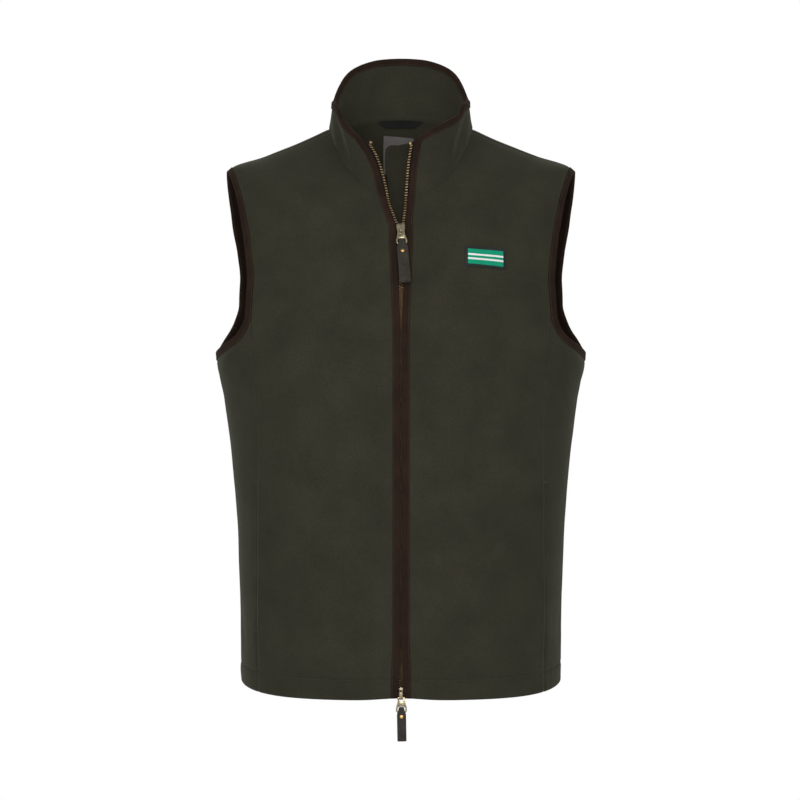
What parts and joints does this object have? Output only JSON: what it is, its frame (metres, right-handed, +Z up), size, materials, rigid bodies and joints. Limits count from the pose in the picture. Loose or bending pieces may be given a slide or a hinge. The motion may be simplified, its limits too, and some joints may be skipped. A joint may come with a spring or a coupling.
{
  "type": "fleece gilet",
  "caption": "Sleeveless stand-collar fleece gilet, worn form with no wearer, bound edges, two-way metal zip open at the neck, leather zip pulls.",
  "frame": {"origin": "middle of the wearer's neck, level with the points where the collar meets the shoulders", "axes": "+Z up, -Y towards the front of the wearer, +X towards the wearer's left"},
  "size_m": [0.4506, 0.2732, 0.8224],
  "materials": {
    "fleece": "brushed microfleece, matt",
    "binding": "suede-like folded binding, matt",
    "zip_tape": "woven tape",
    "slider_metal": "antique brass, satin",
    "rivet_brass": "satin",
    "leather": "worn matt",
    "label": "satin woven",
    "patch_frame": "dense woven",
    "patch_green": "dense woven"
  },
  "bodies": {
    "gilet": {"front_left": "fleece", "front_right": "fleece", "side_left": "fleece", "side_right": "fleece", "back": "fleece", "collar": "fleece", "zip_guard": "fleece", "collar_binding": "binding", "front_binding_left": "binding", "front_binding_right": "binding", "armhole_binding_left": "binding", "armhole_binding_right": "binding", "zip_tape_left": "zip_tape", "zip_tape_right": "zip_tape", "hanger_loop": "zip_tape", "slider_top": "slider_metal", "slider_bottom": "slider_metal", "neck_label": "label", "chest_patch": "patch_frame", "chest_patch_field": "patch_green"},
    "pull_top": {"puller_top": "slider_metal", "tab_top": "leather", "rivet_top": "rivet_brass"},
    "pull_bottom": {"puller_bottom": "slider_metal", "tab_bottom": "leather", "rivet_bottom": "rivet_brass"}
  },
  "joints": [
    {"name": "pull_top_swing", "type": "hinge", "parent": "gilet", "child": "pull_top", "pos_m": [-0.0003, -0.11531, -0.13017], "axis": [-0.9966, -0.0259, -0.0777], "range_deg": [0, 120]},
    {"name": "pull_bottom_swing", "type": "hinge", "parent": "gilet", "child": "pull_bottom", "pos_m": [0.0002, -0.14902, -0.67266], "axis": [-0.9998, 0.0003, -0.0174], "range_deg": [-20, 120]}
  ]
}
